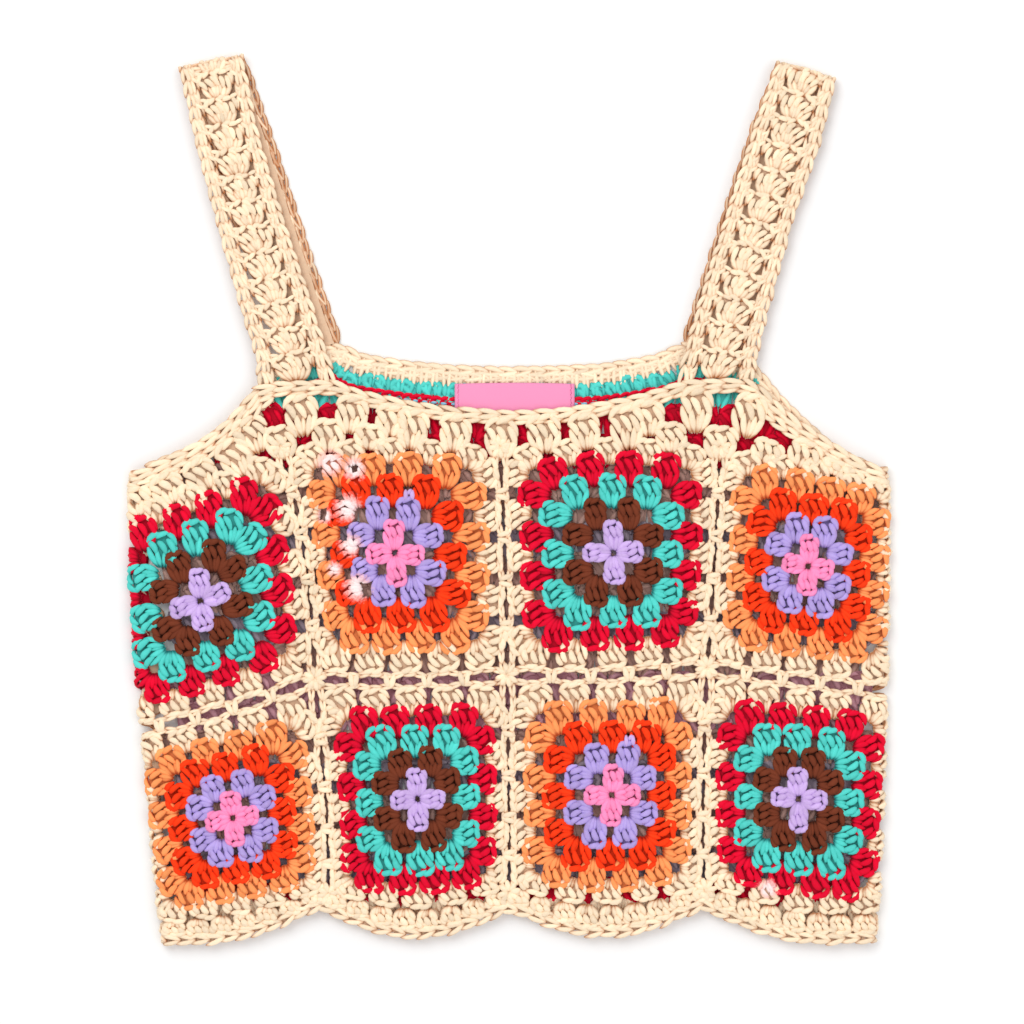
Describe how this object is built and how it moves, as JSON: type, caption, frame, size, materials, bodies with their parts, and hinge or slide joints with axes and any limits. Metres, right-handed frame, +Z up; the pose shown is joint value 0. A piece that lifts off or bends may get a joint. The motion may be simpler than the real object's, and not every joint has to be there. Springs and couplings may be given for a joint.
{
  "type": "crochet top",
  "caption": "Sleeveless crop top of crocheted granny squares with a worked neck and armhole band, scalloped hem and wide shoulder straps, lying flat.",
  "frame": {"origin": "middle of the bounding box, on the surface that the top lies on", "axes": "+X across the chest, +Y from hem to shoulders, +Z up off the surface, from the back of the top to its front"},
  "size_m": [0.4, 0.467, 0.0066],
  "materials": {
    "cream_yarn": "smooth mercerised cotton yarn, soft sheen",
    "crimson_square_yarn": "smooth cotton yarn in rounds of lilac, brown, teal, crimson and cream",
    "orange_square_yarn": "smooth cotton yarn in rounds of pink, periwinkle, vermilion, light orange and cream",
    "striped_back_yarn": "smooth cotton yarn in cross stripes",
    "label_satin": "satin ribbon"
  },
  "bodies": {
    "root": {"square_upper_1": "crimson_square_yarn", "square_upper_2": "orange_square_yarn", "square_upper_3": "crimson_square_yarn", "square_upper_4": "orange_square_yarn", "square_lower_1": "orange_square_yarn", "square_lower_2": "crimson_square_yarn", "square_lower_3": "orange_square_yarn", "square_lower_4": "crimson_square_yarn", "front_band": "cream_yarn", "front_hem": "cream_yarn", "back_trim": "cream_yarn", "back_panel": "striped_back_yarn", "back_hem": "cream_yarn", "strap_left": "cream_yarn", "strap_right": "cream_yarn", "neck_label": "label_satin"}
  },
  "joints": []
}
